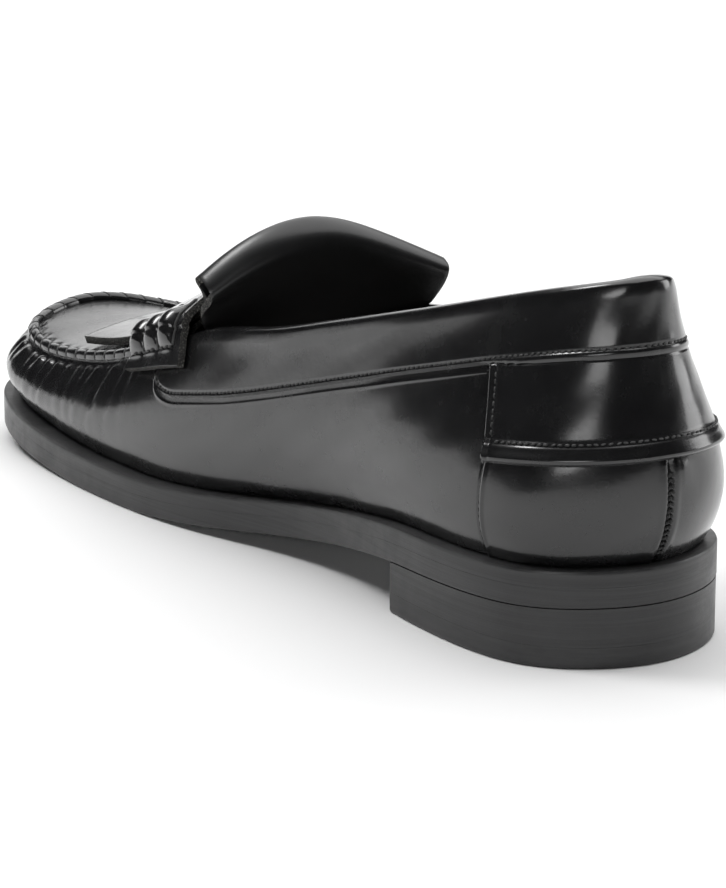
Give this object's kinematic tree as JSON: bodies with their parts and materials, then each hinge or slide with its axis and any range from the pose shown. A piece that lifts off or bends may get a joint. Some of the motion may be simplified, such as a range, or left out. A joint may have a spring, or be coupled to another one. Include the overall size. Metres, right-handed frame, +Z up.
{
  "type": "kiltie loafer",
  "caption": "Left leather kiltie loafer: hollow upper with a gathered apron, saddle strap with rolled ends, folded kiltie tongue, leather sole and stacked heel.",
  "frame": {"origin": "middle of the heel's flat underside, on the floor", "axes": "+Y from heel to toe along the shoe, +Z up, -X to the lateral (outer) side of this left shoe"},
  "size_m": [0.0854, 0.2737, 0.0859],
  "materials": {
    "upper_leather": "polished black box leather, high gloss",
    "sole_leather": "black stained leather edge, satin",
    "heel_leather": "black stacked leather, satin with fine layers",
    "top_piece_rubber": "black rubber, satin",
    "sock_leather": "dark matt lining leather"
  },
  "bodies": {
    "root": {"outsole": "sole_leather", "midsole": "sole_leather", "heel_stack": "heel_leather", "heel_top_piece": "top_piece_rubber", "insole": "sock_leather", "upper": "upper_leather", "saddle_strap": "upper_leather", "kiltie_tongue": "upper_leather"}
  },
  "joints": []
}
